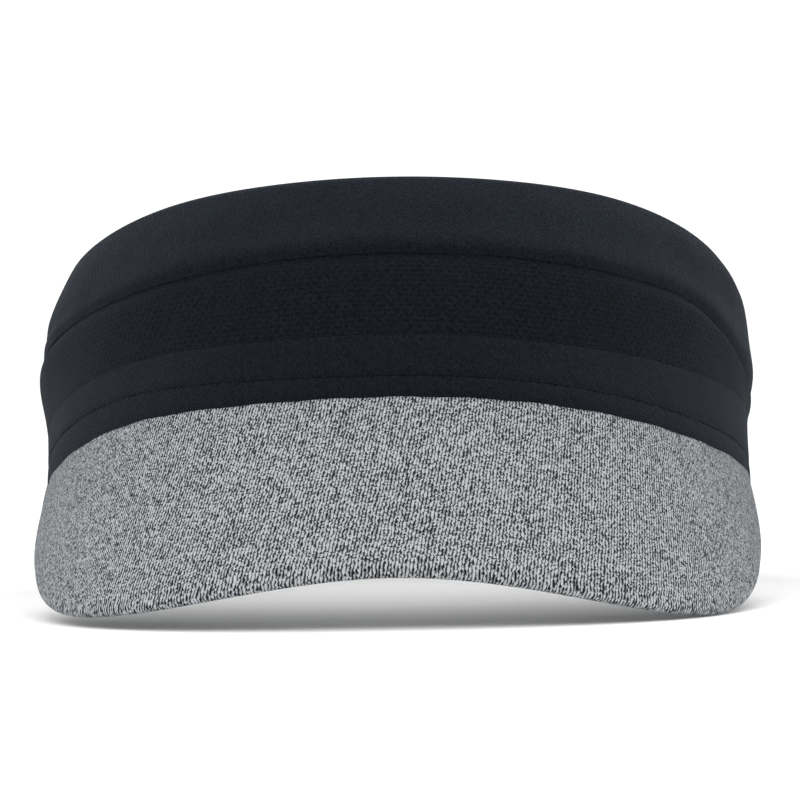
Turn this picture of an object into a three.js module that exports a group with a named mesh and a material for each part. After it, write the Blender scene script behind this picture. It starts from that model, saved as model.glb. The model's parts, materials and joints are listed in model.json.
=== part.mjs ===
// Sports visor: a stretch-knit headband in navy with a padded, knit-covered grey brim.
//
// Millimetres, +Z up, brim toward -Y. The visor stands as it does on a table, on the two front
// corners of its brim and on the rear of its band's lower edge.
//
// Two surfaces carry every piece. The band is an oval wall that leans in toward its top edge. The
// brim is one arched sheet, straight along its own slope, that starts on the band's lower edge.
// A piece is a plain solid whose vertices are carried onto one of the two surfaces.
import * as THREE from 'three';
import { mergeVertices } from 'three/addons/utils/BufferGeometryUtils.js';

const { degToRad, lerp, smoothstep } = THREE.MathUtils;

// ---- Driving dimensions ---------------------------------------------------------------------

const bandHalfWidth = 78.2; // outside, at the lower edge
const bandHalfLength = 93;
const bandHeight = 52.7;
const frontInset = 14; // how far the top edge leans in
const sideInset = 6.3;
const rearInset = 8;
const frontRoll = 3; // powers of the lean: a higher one keeps the wall upright for longer
const sideRoll = 4.5;
const sideBulge = 2.2; // the wall swells a little at mid height over the ears
const bulgeHeight = 30;
const bulgeSpread = 9;

const hemLine = 4.6; // heights of the sewn lines, above the lower edge, at the front
const ventLine = 13.6;
const weltLine = 32.3;
const hemRise = 1.9; // the hem line runs higher on the wearer's right
const ventRise = 2; // the vent line runs higher on the wearer's left
const weltDroop = 9.5; // the welt slumps over the wearer's left ear
const edgeLift = 2.9; // the lower edge bows up beside the forehead on the wearer's right
const earLift = 1.8; // and over both ears, where the brim ends
const napeLift = 7.5; // and over the nape, where the band is narrower than at the front

const outerKnit = 0.9; // thickness of each layer, from the outside in
const coreThickness = 1.4;
const liningThickness = 0.8;
const layerGap = 0.3;
const threadWidth = 0.5;
const threadSink = 0.2; // the stitches lie this far below the knit's face

const brimLength = 64; // along the slope at the middle
const brimPitch = degToRad(47); // slope below the plane of the band's lower edge
const brimHalfAngle = degToRad(81); // how far round the oval the brim reaches
const brimBluntness = 2.85; // powers of the outline: straight front, round corners
const brimRoundness = 1.3;
const cornerFullness = 18;
const brimSplay = degToRad(5.6); // the sides spread as they leave the band
const coverThickness = 0.6;
const foamThickness = 0.5;
const boardThickness = 1;
const turnedEdge = 5; // width of the cover's edge that is turned under the brim
const brimSeamGap = 0.4;

const padHalfAngle = degToRad(60);
const elasticHalfAngle = degToRad(85); // of the rear elastic, either side of the back
const tapeHalfAngle = degToRad(75);
const tapeHeight = 6.5;
const tapeThickness = 0.8;
const coreMargin = 2; // the padding stays this far from the sewn lines
const topElasticMargin = 1.2;
const foldRise = 1.2; // height of the rounded fold along the top edge
const seamTapeHalfWidth = 5;
const seamMargin = 1.5; // the rear tape and thread stop short of the band's edges
const labelWidth = 16;
const labelHeight = 22;
const labelThickness = 0.4;
const liningSetback = 1.6; // the lining ends this far above the lower edge, and the tape half as far

const roundSteps = 72;
const weltSteps = 4;
const brimSteps = 44;

// ---- The band's surface ---------------------------------------------------------------------

// Angles run from the middle of the front (0) toward +X, and reach +-PI at the back.
function windowed(angle, from, to) {
  const fade = 1 - smoothstep(Math.abs(angle), degToRad(100), degToRad(160));
  return smoothstep(Math.sign(to) * angle, degToRad(Math.abs(from)), degToRad(Math.abs(to))) * fade;
}

// A smooth rise of 1 at one angle, in degrees, that fades over a spread either side.
function bump(angle, centre, spread) {
  return Math.exp(-(((angle - degToRad(centre)) / degToRad(spread)) ** 2));
}

function lowerEdge(angle) {
  const bows = edgeLift * bump(angle, -50, 24) + earLift * bump(Math.abs(angle), 80, 18);
  return bows + napeLift * bump(Math.PI - Math.abs(angle), 0, 50);
}

// The real height of each sewn line at an angle, from its height at the front.
function sewnLines(angle) {
  const edge = lowerEdge(angle);
  return [
    [0, edge],
    [hemLine, edge + hemLine + hemRise * windowed(angle, 0, -60)],
    [ventLine, edge + ventLine + ventRise * windowed(angle, 20, 70)],
    [weltLine, weltLine - weltDroop * windowed(angle, 50, 88)],
    [bandHeight, bandHeight],
  ];
}

function heightAt(angle, nominal) {
  const lines = sewnLines(angle);
  const last = lines.length - 2;
  const found = lines.findIndex(([line], i) => i <= last && nominal <= lines[i + 1][0]);
  const i = found < 0 ? last : found;
  const [[low, lowAt], [high, highAt]] = [lines[i], lines[i + 1]];
  return lerp(lowAt, highAt, (nominal - low) / (high - low));
}

// A point of the band's wall: depth is measured from the outside in, height up from the edge.
function bandPoint(angle, nominal, depth) {
  const height = heightAt(angle, nominal);
  const share = height / bandHeight;
  const swell = sideBulge * Math.exp(-(((height - bulgeHeight) / bulgeSpread) ** 2));
  const endInset = Math.cos(angle) > 0 ? frontInset : rearInset;
  const halfWidth = bandHalfWidth - sideInset * share ** sideRoll + swell * Math.sin(angle) ** 2;
  const halfLength = bandHalfLength - endInset * share ** frontRoll;
  const inward = new THREE.Vector2(-halfLength * Math.sin(angle), halfWidth * Math.cos(angle));
  inward.setLength(depth);
  return new THREE.Vector3(
    halfWidth * Math.sin(angle) + inward.x,
    -halfLength * Math.cos(angle) + inward.y,
    height,
  );
}

// ---- The brim's surface ---------------------------------------------------------------------

const alongSlope = new THREE.Vector3(0, -Math.cos(brimPitch), -Math.sin(brimPitch));
const aboveSlope = new THREE.Vector3(0, -Math.sin(brimPitch), Math.cos(brimPitch));
const brimFront = new THREE.Vector3(0, -bandHalfLength, 0);
const arcPerRadian = (bandHalfWidth + bandHalfLength * Math.sin(brimPitch)) / 2;

function seamOffset(angle) {
  const seam = new THREE.Vector3(
    bandHalfWidth * Math.sin(angle),
    -bandHalfLength * Math.cos(angle),
    lowerEdge(angle),
  );
  return seam.sub(brimFront);
}

// The arch across the slope, as a point and its outward normal.
function archAt(angle) {
  const arch = (a) => {
    const offset = seamOffset(a);
    return new THREE.Vector2(offset.x, offset.dot(aboveSlope));
  };
  const step = 0.01;
  const tangent = arch(angle + step).sub(arch(angle - step)).normalize();
  return { point: arch(angle), normal: new THREE.Vector2(-tangent.y, tangent.x) };
}

// A station is a share of the way from the middle to the brim's end, -1 to 1. The margin is how
// far inside the outline a layer ends. Reach 0 is on the band's seam, and 1 is on the outline.
function brimPoint(station, margin, reach, depth) {
  const angle = station * (brimHalfAngle - margin / arcPerRadian);
  const { point, normal } = archAt(angle);
  const seam = seamOffset(angle).dot(alongSlope) + brimSeamGap;
  const end = seamOffset(brimHalfAngle).dot(alongSlope);
  const side = Math.abs(station);
  const fullness = (1 - side ** brimBluntness) ** (1 / brimRoundness);
  const corner = cornerFullness * side ** 2 * (1 - side ** 2);
  const outline = end + (brimLength - margin - end) * fullness + corner;
  const along = lerp(seam, outline, reach);
  const spread = (1 + ((along - seam) * Math.tan(brimSplay)) / bandHalfWidth) * point.x;
  return brimFront
    .clone()
    .addScaledVector(alongSlope, along)
    .addScaledVector(aboveSlope, point.y - depth * normal.y)
    .add(new THREE.Vector3(spread - depth * normal.x, 0, 0));
}

// ---- Solids on the two surfaces -------------------------------------------------------------

// Moves every vertex, joins the ones that meet, and turns the faces outward.
function carried(geometry, place) {
  const position = geometry.attributes.position;
  for (let i = 0; i < position.count; i += 1) {
    const to = place(new THREE.Vector3().fromBufferAttribute(position, i));
    position.setXYZ(i, to.x, to.y, to.z);
  }
  geometry.deleteAttribute('normal');
  geometry.deleteAttribute('uv');
  const merged = mergeVertices(geometry, 1e-3);
  const index = merged.index;
  const [a, b, c] = [new THREE.Vector3(), new THREE.Vector3(), new THREE.Vector3()];
  const corner = (vector, i) => vector.fromBufferAttribute(merged.attributes.position, index.getX(i));
  let volume = 0;
  for (let i = 0; i < index.count; i += 3) {
    volume += corner(a, i).dot(corner(b, i + 1).cross(corner(c, i + 2)));
  }
  if (volume < 0) {
    for (let i = 0; i < index.count; i += 3) {
      const first = index.getX(i);
      index.setX(i, index.getX(i + 1));
      index.setX(i + 1, first);
    }
  }
  merged.computeVertexNormals();
  return merged;
}

// A loop right round the band, from a closed outline of [depth, height] points.
const loopRadius = 100; // of the plain ring, before it is carried to the oval
function bandLoop(outline) {
  const points = [...outline, outline[0]].map(([depth, height]) => {
    return new THREE.Vector2(loopRadius + depth, height);
  });
  return carried(new THREE.LatheGeometry(points, roundSteps), (v) => {
    return bandPoint(Math.atan2(v.x, v.z), v.y, Math.hypot(v.x, v.z) - loopRadius);
  });
}

// A line of outline points at one depth, between two heights.
function line(depth, from, to, steps) {
  return Array.from({ length: steps + 1 }, (_, i) => [depth, lerp(from, to, i / steps)]);
}

// One leg of a loop: up its outside and down its inside.
function legOutline(outside, inside, low, high, steps) {
  return [...line(outside, low, high, steps), ...line(inside, high, low, steps)];
}

// A patch of the band between two angles. Angles past PI run on round the back. Its steps match
// the loops', so that the layers keep their gap.
function bandPatch(angles, heights, depths, heightSteps) {
  const angleSteps = Math.max(1, Math.round(((angles[1] - angles[0]) * roundSteps) / (2 * Math.PI)));
  return carried(new THREE.BoxGeometry(1, 1, 1, angleSteps, heightSteps, 1), (v) => {
    const angle = lerp(angles[0], angles[1], v.x + 0.5);
    const wrapped = Math.atan2(Math.sin(angle), Math.cos(angle));
    return bandPoint(wrapped, lerp(heights[0], heights[1], v.y + 0.5), lerp(...depths, v.z + 0.5));
  });
}

// A brim layer from its cross-section, a list of [margin, reach, depth] corners.
function brimLayer(section) {
  const seamShift = 50; // keeps the corners at the seam apart from those at the outline
  const stationEnd = 0.96;
  const shape = new THREE.Shape(
    section.map(([margin, reach, depth]) => new THREE.Vector2(margin + (1 - reach) * seamShift, depth)),
  );
  const geometry = new THREE.ExtrudeGeometry(shape, { steps: brimSteps, depth: 1, bevelEnabled: false });
  return carried(geometry, (v) => {
    const station = Math.sin((Math.PI / 2) * stationEnd * (2 * v.z - 1));
    const atSeam = v.x >= seamShift;
    return brimPoint(station, atSeam ? v.x - seamShift : v.x, atSeam ? 0 : 1, v.y);
  });
}

function flatLayer(margin, top, bottom) {
  return brimLayer([[margin, 0, top], [margin, 1, top], [margin, 1, bottom], [margin, 0, bottom]]);
}

// ---- Materials ------------------------------------------------------------------------------

const finish = (color, roughness) => () => new THREE.MeshStandardMaterial({ color, roughness });
const navyKnit = finish('#1f252d', 0.9);
const navyMesh = finish('#181c22', 0.9);
const heatherKnit = finish('#8b9094', 0.9);
const darkLining = finish('#23282f', 0.95);
const foam = finish('#d8d6cf', 0.95);
const elastic = finish('#2a2d31', 0.8);
const polyethylene = finish('#e6e6e2', 0.5);
const twill = finish('#20242a', 0.85);
const navyThread = finish('#141920', 0.6);
const satinLabel = finish('#d9dadb', 0.6);

// ---- Pieces of the headband -----------------------------------------------------------------

const bandFrame = new THREE.Group();

function add(name, geometry, material) {
  const mesh = new THREE.Mesh(geometry, material());
  mesh.name = name;
  bandFrame.add(mesh);
  return mesh;
}

const channel = threadWidth / 2 + layerGap; // half of the groove that a sewn line lies in
const coreDepth = outerKnit + layerGap;
const liningDepth = coreDepth + coreThickness + layerGap;
const bandDepth = liningDepth + liningThickness;

// The welt is one width of knit folded over the top edge, with the elastic inside the fold.
function topWelt() {
  const low = weltLine + channel;
  const shoulder = bandHeight - foldRise;
  const inner = bandHeight - outerKnit;
  return bandLoop([
    ...line(0, low, shoulder, weltSteps),
    [foldRise / 2, bandHeight],
    [bandDepth - foldRise / 2, bandHeight],
    ...line(bandDepth, shoulder, low, weltSteps),
    ...line(liningDepth, low, inner, weltSteps),
    ...line(outerKnit, inner, low, weltSteps),
  ]);
}

function topElastic() {
  const low = weltLine + channel + topElasticMargin;
  const high = bandHeight - outerKnit - topElasticMargin;
  return bandLoop(legOutline(coreDepth, liningDepth - layerGap, low, high, weltSteps));
}

const outerLoop = (low, high, steps) => bandLoop(legOutline(0, outerKnit, low, high, steps));

function threadLoop(height) {
  const half = threadWidth / 2;
  return bandLoop(legOutline(threadSink, threadSink + threadWidth, height - half, height + half, 1));
}

add('top_welt', topWelt(), navyKnit);
add('top_elastic', topElastic(), elastic);
add('vent_panel', outerLoop(ventLine + channel, weltLine - channel, 3), navyMesh);
add('lower_panel', outerLoop(hemLine + channel, ventLine - channel, 2), navyKnit);
add('hem_strip', outerLoop(0, hemLine - channel, 1), navyKnit);

const liningTop = weltLine + channel - layerGap;
add('sweatband', bandLoop(legOutline(liningDepth, bandDepth, liningSetback, liningTop, 4)), darkLining);

const coreDepths = [coreDepth, coreDepth + coreThickness];
const padLow = tapeHeight + coreMargin;
const padHigh = weltLine - coreMargin;
add('forehead_pad', bandPatch([-padHalfAngle, padHalfAngle], [padLow, padHigh], coreDepths, 4), foam);

const rearAngles = [Math.PI - elasticHalfAngle, Math.PI + elasticHalfAngle];
add('rear_elastic', bandPatch(rearAngles, [coreMargin, padHigh], coreDepths, 4), elastic);

const tapeAngles = [-tapeHalfAngle, tapeHalfAngle];
const tapeDepths = [coreDepth, coreDepth + tapeThickness];
add('brim_mount_tape', bandPatch(tapeAngles, [liningSetback / 2, tapeHeight], tapeDepths, 1), twill);

// The band is a strip joined at the back: a thread outside, and a tape and a label inside.
function rearPatch(from, to, heights, depths, steps) {
  const angles = [Math.PI + from / bandHalfWidth, Math.PI + to / bandHalfWidth];
  return bandPatch(angles, heights, depths, steps);
}

const seamHeights = [seamMargin, bandHeight - 2 * seamMargin];

const tapeOutside = bandDepth + layerGap;
const seamTapeDepths = [tapeOutside, tapeOutside + tapeThickness];
const halfTape = seamTapeHalfWidth;
add('rear_seam_tape', rearPatch(-halfTape, halfTape, seamHeights, seamTapeDepths, 8), twill);

const threadDepths = [-layerGap - threadWidth, -layerGap];
add('rear_seam_thread', rearPatch(-threadWidth, threadWidth, seamHeights, threadDepths, 8), navyThread);

const labelFrom = seamTapeHalfWidth + layerGap;
const labelHeights = [hemLine, hemLine + labelHeight];
const labelDepths = [tapeOutside, tapeOutside + labelThickness];
const labelTo = labelFrom + labelWidth;
add('care_label', rearPatch(labelFrom, labelTo, labelHeights, labelDepths, 4), satinLabel);

add('welt_stitch', threadLoop(weltLine), navyThread);
add('vent_stitch', threadLoop(ventLine), navyThread);
add('hem_stitch', threadLoop(hemLine), navyThread);

// ---- Pieces of the brim ---------------------------------------------------------------------

const foamTop = coverThickness + layerGap;
const boardTop = foamTop + foamThickness + layerGap;
const underTop = boardTop + boardThickness + layerGap;
const brimThickness = underTop + coverThickness;
const innerMargin = coverThickness + layerGap;

// The cover wraps the outer edge and is turned under, so its section is a long hook.
function brimTopCover() {
  const round = coverThickness;
  return brimLayer([
    [round, 0, 0],
    [round, 1, 0],
    [0, 1, round],
    [0, 1, brimThickness - round],
    [round, 1, brimThickness],
    [turnedEdge, 1, brimThickness],
    [turnedEdge, 1, underTop],
    [round, 1, underTop],
    [round, 1, coverThickness],
    [round, 0, coverThickness],
  ]);
}

const brimCover = add('brim_top_cover', brimTopCover(), heatherKnit);
add('brim_foam', flatLayer(innerMargin, foamTop, foamTop + foamThickness), foam);
add('brim_board', flatLayer(innerMargin, boardTop, boardTop + boardThickness), polyethylene);
add('brim_under_cover', flatLayer(turnedEdge + 2 * layerGap, underTop, brimThickness), heatherKnit);

// ---- Standing on the table ------------------------------------------------------------------

// The band tips back until its rear edge is as low as the brim's corners.
function restTilt() {
  const corners = brimCover.geometry.attributes.position;
  const rear = bandPoint(Math.PI, 0, 0);
  const heightOf = (y, z, tilt) => z * Math.cos(tilt) - y * Math.sin(tilt);
  let [low, high] = [0, degToRad(40)];
  for (let round = 0; round < 40; round += 1) {
    const tilt = (low + high) / 2;
    let lowest = Infinity;
    for (let i = 0; i < corners.count; i += 1) {
      lowest = Math.min(lowest, heightOf(corners.getY(i), corners.getZ(i), tilt));
    }
    if (heightOf(rear.y, rear.z, tilt) > lowest) low = tilt;
    else high = tilt;
  }
  return (low + high) / 2;
}

bandFrame.rotation.x = -restTilt();

const visor = new THREE.Group();
visor.add(bandFrame);
visor.updateMatrixWorld(true);
const bounds = new THREE.Box3().setFromObject(visor, true);
const middle = bounds.getCenter(new THREE.Vector3());
visor.position.set(-middle.x, -middle.y, -bounds.min.z);

export default visor;
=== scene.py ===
import json
import math

import bpy
import numpy as np
from mathutils import Matrix, Vector


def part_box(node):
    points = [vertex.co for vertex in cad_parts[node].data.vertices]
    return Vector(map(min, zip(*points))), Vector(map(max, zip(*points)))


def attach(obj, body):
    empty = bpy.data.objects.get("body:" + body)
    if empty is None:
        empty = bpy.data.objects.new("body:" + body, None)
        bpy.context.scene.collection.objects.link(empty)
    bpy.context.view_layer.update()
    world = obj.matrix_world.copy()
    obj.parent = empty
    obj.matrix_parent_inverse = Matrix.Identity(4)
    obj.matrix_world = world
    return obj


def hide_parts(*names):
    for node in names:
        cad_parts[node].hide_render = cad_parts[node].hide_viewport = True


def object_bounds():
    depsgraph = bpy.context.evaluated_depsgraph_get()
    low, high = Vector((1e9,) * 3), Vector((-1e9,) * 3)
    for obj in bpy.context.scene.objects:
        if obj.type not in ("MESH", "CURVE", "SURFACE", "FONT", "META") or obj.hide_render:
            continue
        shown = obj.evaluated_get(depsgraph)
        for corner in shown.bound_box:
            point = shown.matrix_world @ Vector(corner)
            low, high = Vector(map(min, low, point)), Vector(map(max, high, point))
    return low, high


bl_info = {
    "name": "Knit Sports Visor",
    "version": (1, 0, 0),
    "blender": (4, 5, 0),
    "location": "View3D > Sidebar > Visor",
    "description": "Builds a sports visor's knit, padding, stitching and studio round its frame",
    "category": "Add Mesh",
}

# Everything is in metres, in the frame's own axes: +Z up, brim toward -Y. Two surfaces carry every
# piece, as in the frame: the band, an oval wall that leans in toward its top, and the brim, an
# arched sheet that is straight along its own slope. Angles run from the middle of the front.
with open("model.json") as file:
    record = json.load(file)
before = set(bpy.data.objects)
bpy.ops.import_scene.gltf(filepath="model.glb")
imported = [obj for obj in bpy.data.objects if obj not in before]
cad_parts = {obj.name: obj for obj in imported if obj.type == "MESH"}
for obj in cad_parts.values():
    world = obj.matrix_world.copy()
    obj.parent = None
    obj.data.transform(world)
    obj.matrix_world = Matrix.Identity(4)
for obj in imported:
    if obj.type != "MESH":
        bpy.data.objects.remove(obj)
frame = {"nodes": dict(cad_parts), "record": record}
cad_low, cad_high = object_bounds()

MM = 0.001
UV_MAP = "cloth"  # its units are millimetres along and across the knit


# ---- Sizes and colours --------------------------------------------------------------------------

def linear(hex_colour):
    """The linear colour of an sRGB hex value."""
    parts = [int(hex_colour[i:i + 2], 16) / 255 for i in (1, 3, 5)]
    return tuple(p / 12.92 if p <= 0.04045 else ((p + 0.055) / 1.055) ** 2.4 for p in parts)


def length(name, description, millimetres):
    return bpy.props.FloatProperty(
        name=name, description=description, default=millimetres * MM, unit="LENGTH", precision=5
    )


def turn(name, description, degrees):
    return bpy.props.FloatProperty(
        name=name, description=description, default=math.radians(degrees), unit="ROTATION"
    )


def colour(name, description, hex_colour):
    return bpy.props.FloatVectorProperty(
        name=name, description=description, default=linear(hex_colour), subtype="COLOR", size=3,
        min=0.0, max=1.0,
    )


class VisorBandSizes(bpy.types.PropertyGroup):
    half_width: length("Half width", "Outside half width at the lower edge", 78.2)
    half_length: length("Half length", "Outside half length at the lower edge", 93)
    height: length("Height", "Height of the band's wall", 52.7)
    front_inset: length("Front inset", "How far the top leans in at the front", 14)
    side_inset: length("Side inset", "How far the top leans in at the sides", 6.3)
    rear_inset: length("Rear inset", "How far the top leans in at the back", 8)
    side_bulge: length("Side bulge", "Swell of the wall over the ears", 2.2)
    shoulder: length("Shoulder", "Rise of the top edge either side of the forehead", 0.8)
    hem_line: length("Hem line", "Height of the hem's sewn line", 4.6)
    vent_line: length("Vent line", "Height of the vent panel's lower sewn line", 13.6)
    welt_line: length("Welt line", "Height of the sewn line under the welt", 32.3)
    hem_rise: length("Hem rise", "Rise of the hem line on the wearer's right", 1.9)
    vent_rise: length("Vent rise", "Rise of the vent line on the wearer's left", 2)
    welt_droop: length("Welt droop", "Slump of the welt over the wearer's left ear", 9.5)
    edge_lift: length("Edge lift", "Bow of the lower edge on the wearer's right", 2.9)
    ear_lift: length("Ear lift", "Bow of the lower edge over the ears", 1.8)
    nape_lift: length("Nape lift", "Rise of the lower edge at the back", 7.5)


class VisorBrimSizes(bpy.types.PropertyGroup):
    reach: length("Length", "Length of the brim along its slope, at the middle", 64)
    pitch: turn("Pitch", "Slope of the brim below the band's lower edge", 47)
    half_angle: turn("Half angle", "How far round the band the brim reaches", 81)
    corner_fullness: length("Corner fullness", "Extra length of the brim's corners", 18)
    splay: turn("Splay", "Spread of the brim's sides", 5.6)
    cover: length("Cover", "Thickness of the brim's knit cover", 0.6)
    foam: length("Foam", "Thickness of the brim's foam", 0.5)
    board: length("Board", "Thickness of the brim's board", 1)
    turned_edge: length("Turned edge", "Width of the cover that is turned under", 5)
    seam_gap: length("Seam gap", "Space between the band's edge and the brim", 0.4)


class VisorKnitSizes(bpy.types.PropertyGroup):
    heather_wale: length("Heather wale", "Width of one column of stitches on the brim", 0.72)
    heather_course: length("Heather course", "Height of one row of stitches on the brim", 0.54)
    navy_wale: length("Navy wale", "Width of one column of stitches on the band", 0.56)
    navy_course: length("Navy course", "Height of one row of stitches on the band", 0.46)
    vent_across: length("Vent pitch across", "Spacing of the mesh holes round the band", 1.9)
    vent_up: length("Vent pitch up", "Spacing of the mesh holes up the band", 1.15)
    stitch_pitch: length("Stitch pitch", "Spacing of the sewn stitches", 2.5)
    thread: length("Thread", "Thickness of the sewing thread", 0.34)


class VisorColours(bpy.types.PropertyGroup):
    navy: colour("Navy", "Band's knit", "#101419")
    vent: colour("Vent navy", "Mesh zone's knit", "#101419")
    heather_light: colour("Heather light", "Light yarn of the brim", "#b6babd")
    heather_dark: colour("Heather dark", "Dark yarn of the brim", "#13171b")
    lining: colour("Lining", "Sweatband's brushed knit", "#191d23")
    elastic: colour("Elastic", "Braided elastic", "#2a2d31")
    twill: colour("Twill", "Seam tapes", "#20242a")
    thread: colour("Thread", "Sewing thread", "#0f1318")
    label: colour("Label", "Blank satin label", "#d9dadb")
    foam: colour("Foam", "Padding foam", "#d8d6cf")
    board: colour("Board", "Brim's stiffening board", "#e6e6e2")
    floor: colour("Floor", "Studio floor", "#f8f8f8")


OUTER = (0.05 * MM, 0.75 * MM)  # depths of the outer knit's two faces, from the outside in
CORE = (1.25 * MM, 2.55 * MM)
LINING = (2.95 * MM, 3.65 * MM)
TAPE = (4.05 * MM, 4.75 * MM)
SEWN_HALF = 0.03 * MM  # half of the slit between two panels at a sewn line
JOINT_FOOT = 1.5 * MM  # the joint's tape and thread start this far up the band
TOP_MARGIN = 3 * MM  # and end this far below its top edge
LAYER_GAP = 0.3 * MM  # between the layers of the brim
FOAM_MARGIN = 2.1 * MM  # from the brim's edge in to its foam

# How far a sewn line draws the knit in, and how far from the line that fades.
WELT_CREASE = (1.0 * MM, 1.8 * MM)
VENT_CREASE = (0.06 * MM, 1.3 * MM)
HEM_CREASE = (0.20 * MM, 0.8 * MM)
EDGE_CREASE = (0.22 * MM, 0.9 * MM)
WELT_TUCK = (1.05 * MM, 1.3 * MM)
JOINT_CREASE = 0.25 * MM
GATHER_HEIGHT = 0.07 * MM


# ---- The band's surface ------------------------------------------------------------------------

def smoothstep(value, low, high):
    """0 below low, 1 above high, and smooth between them."""
    share = np.clip((value - low) / (high - low), 0, 1)
    return share * share * (3 - 2 * share)


def windowed(angle, start, end):
    """Rises from 0 to 1 between two angles in degrees, and fades out toward the back."""
    fade = 1 - smoothstep(np.abs(angle), math.radians(100), math.radians(160))
    low, high = math.radians(abs(start)), math.radians(abs(end))
    return smoothstep(np.sign(end) * angle, low, high) * fade


def hump(angle, centre, spread):
    """1 at the centre, fading to both sides, with both in degrees."""
    return np.exp(-(((angle - math.radians(centre)) / math.radians(spread)) ** 2))


def lower_edge(angle):
    """Height of the band's lower edge, above its middle at the front."""
    band = bpy.context.scene.visor_band
    bows = band.edge_lift * hump(angle, -50, 24) + band.ear_lift * hump(np.abs(angle), 80, 18)
    return bows + band.nape_lift * hump(math.pi - np.abs(angle), 0, 50)


def height_at(angle, nominal):
    """Real height of a point whose height is given as it would be at the middle of the front."""
    band = bpy.context.scene.visor_band
    edge = lower_edge(angle)
    lines = [
        (0, edge),
        (band.hem_line, edge + band.hem_line + band.hem_rise * windowed(angle, 0, -60)),
        (band.vent_line, edge + band.vent_line + band.vent_rise * windowed(angle, 20, 70)),
        (band.welt_line, band.welt_line - band.welt_droop * windowed(angle, 50, 88)),
        (band.height, band.height + band.shoulder * hump(np.abs(angle), 42, 20)),
    ]
    real = edge
    for (low, low_at), (high, high_at) in zip(lines, lines[1:]):
        real = real + np.clip((nominal - low) / (high - low), 0, 1) * (high_at - low_at)
    return real


def band_points(angle, nominal, depth):
    """Points of the wall, in the band's own frame. Depth runs from the outside in."""
    band = bpy.context.scene.visor_band
    wrapped = np.arctan2(np.sin(angle), np.cos(angle))
    height = height_at(wrapped, nominal)
    share = np.clip(height / band.height, 0, None)
    fullest, spread = 30 * MM, 9 * MM
    swell = band.side_bulge * np.exp(-(((height - fullest) / spread) ** 2))
    end_inset = np.where(np.cos(angle) > 0, band.front_inset, band.rear_inset)
    half_width = band.half_width - band.side_inset * share ** 4.5 + swell * np.sin(angle) ** 2
    half_length = band.half_length - end_inset * share ** 3
    inward_x, inward_y = -half_length * np.sin(angle), half_width * np.cos(angle)
    size = np.hypot(inward_x, inward_y)
    x = half_width * np.sin(angle) + inward_x / size * depth
    y = -half_length * np.cos(angle) + inward_y / size * depth
    return np.stack(np.broadcast_arrays(x, y, height), axis=-1)


def tilt_of_band():
    """The band tips back so that the visor stands on its brim's corners and its rear edge."""
    axis = frame["record"]["mounts"][0]["axis"]
    return math.atan2(-axis[1], -axis[2])


def tipped(points):
    """Turns the band's own frame by its tilt."""
    c, s = math.cos(tilt_of_band()), math.sin(tilt_of_band())
    x, y, z = np.moveaxis(points, -1, 0)
    return np.stack([x, y * c + z * s, z * c - y * s], axis=-1)


def band_origin():
    """Where the middle of the band's lower edge lies, from the hem's own box."""
    low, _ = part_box("hem_strip")
    front = tipped(band_points(np.array(0.0), 0.0, 0.0))
    rear = tipped(band_points(np.array(math.pi), 0.0, 0.0))
    return np.array([0.0, low.y - front[1], low.z - rear[2]])


def placed(points):
    """Moves points from the band's own frame to the object's."""
    return tipped(points) + band_origin()


# ---- The brim's surface ------------------------------------------------------------------------

def seam_offset(angle):
    """The band's lower edge from the middle of its front: across, along the slope and above it."""
    band, brim = bpy.context.scene.visor_band, bpy.context.scene.visor_brim
    back = band.half_length * (1 - np.cos(angle))
    rise = lower_edge(angle)
    c, s = math.cos(brim.pitch), math.sin(brim.pitch)
    return band.half_width * np.sin(angle), -back * c - rise * s, -back * s + rise * c


def brim_points(station, margin, reach, depth, back=0.0):
    """Points of the brim. Station is -1 to 1 across, and reach 0 at the band to 1 at the edge.
    Back is a distance toward the band."""
    band, brim = bpy.context.scene.visor_band, bpy.context.scene.visor_brim
    arc_per_radian = (band.half_width + band.half_length * math.sin(brim.pitch)) / 2
    angle = station * (brim.half_angle - margin / arc_per_radian)
    across, seam, above = seam_offset(angle)
    step = 0.01
    before, after = seam_offset(angle - step), seam_offset(angle + step)
    size = np.hypot(after[0] - before[0], after[2] - before[2])
    normal_x, normal_up = -(after[2] - before[2]) / size, (after[0] - before[0]) / size
    seam = seam + brim.seam_gap
    end = seam_offset(np.array(brim.half_angle))[1]
    side = np.abs(station)
    fullness = np.clip(1 - side ** 2.85, 0, 1) ** (1 / 1.3)
    corner = brim.corner_fullness * side ** 2 * (1 - side ** 2)
    outline = end + (brim.reach - margin - end) * fullness + corner
    along = seam + (outline - seam) * reach - back
    spread = (1 + (along - seam) * math.tan(brim.splay) / band.half_width) * across
    up = above - depth * normal_up
    c, s = math.cos(brim.pitch), math.sin(brim.pitch)
    x = spread - depth * normal_x
    y = -band.half_length - along * c - up * s
    z = -along * s + up * c
    return np.stack(np.broadcast_arrays(x, y, z), axis=-1)


# ---- Making cloth ------------------------------------------------------------------------------

def volume_of(points, faces):
    """Signed volume inside quads, which is below 0 where they face inward."""
    a, b, c, d = (points[faces[:, i]] for i in range(4))
    return (np.cross(a, b) * c).sum() + (np.cross(a, c) * d).sum()


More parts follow.
